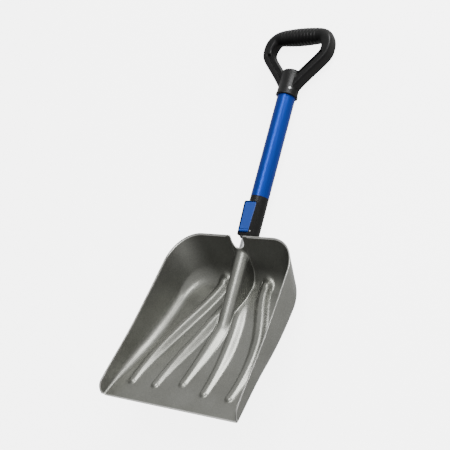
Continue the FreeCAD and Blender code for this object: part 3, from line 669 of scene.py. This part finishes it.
def gripLoop():
    # a section carried along the loop: superellipse, square-ish on the arms and round on the bar,
    # with a channel in the inner half of both faces of the arms and shallow rings round the bar
    half, share = roundedPath(handle["path"], 4, 190)
    line = np.concatenate([half, half[-2::-1] * [-1, 1]])
    share = np.concatenate([share, share[-2::-1]])[:, None]
    run = np.gradient(line, axis=0)
    run /= np.linalg.norm(run, axis=1)[:, None]
    inward = np.stack([-run[:, 1], run[:, 0]], -1)
    x = line[:, :1]
    onBar = smoothStep(share, *handle["barFrom"])
    crown = np.cos(np.clip(x / handle["crownReach"], -1, 1) * math.pi / 2) ** handle["crownPower"]
    bar = handle["endHalf"] + (handle["barHalf"] - handle["endHalf"]) * crown
    ring = handle["ringDeep"] * np.cos(2 * math.pi * x / handle["ringPitch"])
    ring = ring * (1 - smoothStep(np.abs(x), handle["ringReach"] - handle["ringFade"], handle["ringReach"]))
    bar = bar + ring * onBar - handle["ringDeep"]
    wide = handle["armHalf"] + (bar - handle["armHalf"]) * onBar
    deep = handle["armDeep"] + (bar - handle["armDeep"]) * onBar
    power = handle["armPower"] + (handle["barPower"] - handle["armPower"]) * onBar
    angle = np.linspace(0, 2 * math.pi, handle["around"], endpoint=False)[None]
    radius = (np.abs(np.cos(angle) / wide) ** power + np.abs(np.sin(angle) / deep) ** power) ** (-1 / power)
    side, out = radius * np.cos(angle), radius * np.sin(angle)
    low, high = handle["channelEnds"]
    slant = handle["channelSlant"]
    near, far = handle["channelFrom"], wide - handle["channelWall"]
    inChannel = smoothStep(side, near - slant, near + slant)
    inChannel = inChannel * (1 - smoothStep(side, far - slant, far + slant))
    fadeIn, fadeOut = handle["channelFade"]
    inChannel = inChannel * smoothStep(share, low, low + fadeIn)
    inChannel = inChannel * (1 - smoothStep(share, high - fadeOut, high + fadeOut))
    onFace = smoothStep(np.abs(out), deep * handle["channelFace"][0], deep * handle["channelFace"][1])
    out = out - np.sign(out) * handle["channelDeep"] * inChannel * onFace
    points = fromShaft(line[:, :1] + inward[:, :1] * side, out, line[:, 1:] + inward[:, 1:] * side)
    return points, gridFaces(*points.shape[:2], closeColumns=True)


def makeHandle():
    loop, loopFaces = gripLoop()
    # the loop, and the socket turned from its bore round the lip to the domed top
    foot, lip, bore, socketHalf = [handle[k] for k in ("rise", "lip", "bore", "socket")]
    top, domeRound = handle["domeTop"], handle["domeRound"]
    edge, lipEdge = handle["edge"], handle["lipEdge"]
    lipTop = foot + handle["lipHigh"]
    bend = np.linspace(0, math.pi / 2, 9)[1:-1]
    dome = [(socketHalf * math.cos(a) ** 0.6, top - domeRound * (1 - math.sin(a))) for a in bend]
    profile = [(0, handle["closedAt"]), (bore, handle["closedAt"]), (bore, foot + edge), (bore + edge, foot),
               (lip - lipEdge, foot), (lip, foot + lipEdge), (lip, lipTop - edge), (lip - 0.3, lipTop),
               (socketHalf, lipTop + lipEdge), (socketHalf, top - domeRound)] + dome + [(0, top)]
    socket, socketFaces = turnedForm(profile, handle["socketSteps"])
    points, faces = joinPatches([(loop, loopFaces), (socket, socketFaces)])
    piece = makePiece("handleMoulding", points, faces, "handle_side", "black_nylon", ["grip_body"], weld=1e-6)
    work = bmesh.new()
    work.from_mesh(piece.data)
    bmesh.ops.holes_fill(work, edges=[e for e in work.edges if e.is_boundary])
    bmesh.ops.recalc_face_normals(work, faces=work.faces)
    work.to_mesh(piece.data)
    work.free()


makeHandle()

# Floor, camera and light

studio = {
    "floorHalf": 14.0, "floorColour": "a2a2a1",
    "floorGlow": (0.25, 5.0),                 # in reflections, and seen directly
    "cameraAt": (1005.2, -547.4, 961.3),      # mm in the blade frame
    "lookAt": (0.0, 253.6, 99.1),
    "roll": -31.64,
    "lens": 86.4,
    "world": 1.2, "worldDark": 0.14, "darkSide": (-0.65, -0.75, 0.1),
}


def makeFloor():
    # pale paper, lit from inside so that it stays even
    mesh = bpy.data.meshes.new("studioFloor")
    half = studio["floorHalf"]
    low = cadLow.z
    corners = [(-half, -half, low), (half, -half, low), (half, half, low), (-half, half, low)]
    mesh.from_pydata(corners, [], [(0, 1, 2, 3)])
    floor = bpy.data.objects.new("studioFloor", mesh)
    bpy.context.scene.collection.objects.link(floor)
    material, tree = newMaterial("paleStudioPaper")
    seen = addNode(tree, "ShaderNodeLightPath")
    dim, bright = studio["floorGlow"]
    glow = addNode(tree, "ShaderNodeMapRange", {"To Min": dim, "To Max": bright},
                   {"Value": seen.outputs["Is Camera Ray"]})
    shader = addNode(tree, "ShaderNodeBsdfPrincipled",
                     {"Base Color": linear(studio["floorColour"]), "Roughness": 0.9,
                      "Emission Color": (1.0, 1.0, 1.0, 1.0)},
                     {"Emission Strength": glow.outputs["Result"]})
    closeMaterial(tree, shader)
    mesh.materials.append(material)


def makeCamera():
    # stands at its place, looks at its aim and is rolled about that line
    data = bpy.data.cameras.new("studioCamera")
    data.lens = studio["lens"]
    data.sensor_width = 36.0
    data.clip_start = 0.05
    data.clip_end = 50.0
    camera = bpy.data.objects.new("studioCamera", data)
    bpy.context.scene.collection.objects.link(camera)
    place = fromBlade(*studio["cameraAt"])
    aim = fromBlade(*studio["lookAt"])
    forward = (aim - place) / np.linalg.norm(aim - place)
    level = np.cross(forward, upFromBlade)
    level /= np.linalg.norm(level)
    upright = np.cross(level, forward)
    roll = math.radians(studio["roll"])
    right = level * math.cos(roll) + upright * math.sin(roll)
    top = np.cross(right, forward)
    turn = np.eye(4)
    turn[:3, 0], turn[:3, 1], turn[:3, 2], turn[:3, 3] = right, top, -forward, place
    camera.matrix_world = Matrix(turn.tolist())
    bpy.context.scene.camera = camera


def areaLight(name, fromPoint, size, power):
    # a rectangular softbox that faces the middle of the object
    data = bpy.data.lights.new(name, "AREA")
    data.shape = "RECTANGLE"
    data.size, data.size_y = size
    data.energy = power
    lamp = bpy.data.objects.new(name, data)
    bpy.context.scene.collection.objects.link(lamp)
    lamp.location = fromPoint
    lamp.rotation_euler = (-Vector(fromPoint)).to_track_quat("-Z", "Y").to_euler()


def makeWorld():
    # an even pale surround that falls off towards the dark side of the studio
    world = bpy.data.worlds.new("studioWorld")
    world.use_nodes = True
    tree = world.node_tree
    tree.nodes.clear()
    place = addNode(tree, "ShaderNodeTexCoord")
    toDark = addNode(tree, "ShaderNodeVectorMath", {"operation": "DOT_PRODUCT", 1: studio["darkSide"]},
                     {0: place.outputs["Generated"]})
    level = addNode(tree, "ShaderNodeMapRange",
                    {"From Min": 0.1, "From Max": 0.95,
                     "To Min": studio["world"], "To Max": studio["worldDark"]},
                    {"Value": toDark.outputs["Value"]})
    back = addNode(tree, "ShaderNodeBackground", {"Color": (1.0, 1.0, 1.0, 1.0)},
                   {"Strength": level.outputs["Result"]})
    addNode(tree, "ShaderNodeOutputWorld", {}, {"Surface": back.outputs[0]})
    bpy.context.scene.world = world


makeFloor()
makeCamera()
makeWorld()
# width and height in metres, power in watts
areaLight("sideSoftbox", (1.1, 1.88, 1.0), (1.5, 1.0), 125.0)
areaLight("topSoftbox", (0.3, 0.6, 2.0), (0.45, 1.2), 38.0)
print("studio made")
